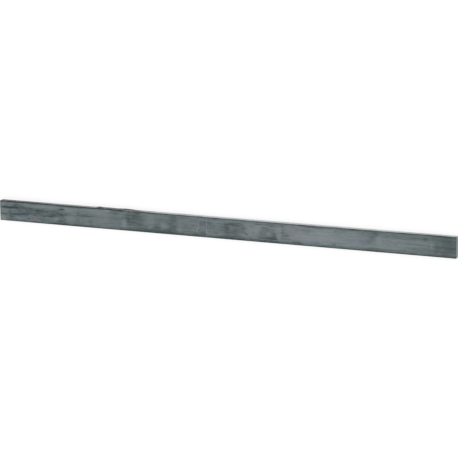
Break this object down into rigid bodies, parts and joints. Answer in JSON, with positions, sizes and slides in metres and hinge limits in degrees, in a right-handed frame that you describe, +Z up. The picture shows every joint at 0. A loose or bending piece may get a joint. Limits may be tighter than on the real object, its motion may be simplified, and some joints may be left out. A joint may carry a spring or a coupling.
{
  "type": "copper busbar",
  "caption": "Flat bar of tin-plated copper that carries heavy current between terminals, with rounded long edges and sawn, filed ends.",
  "frame": {"origin": "middle of the broad face that the bar lies on", "axes": "+X along the bar's length, +Y across its width, +Z up through its thickness"},
  "size_m": [0.695, 0.03, 0.01],
  "materials": {
    "tinned_copper": "satin"
  },
  "bodies": {
    "root": {"busbar": "tinned_copper"}
  },
  "joints": []
}
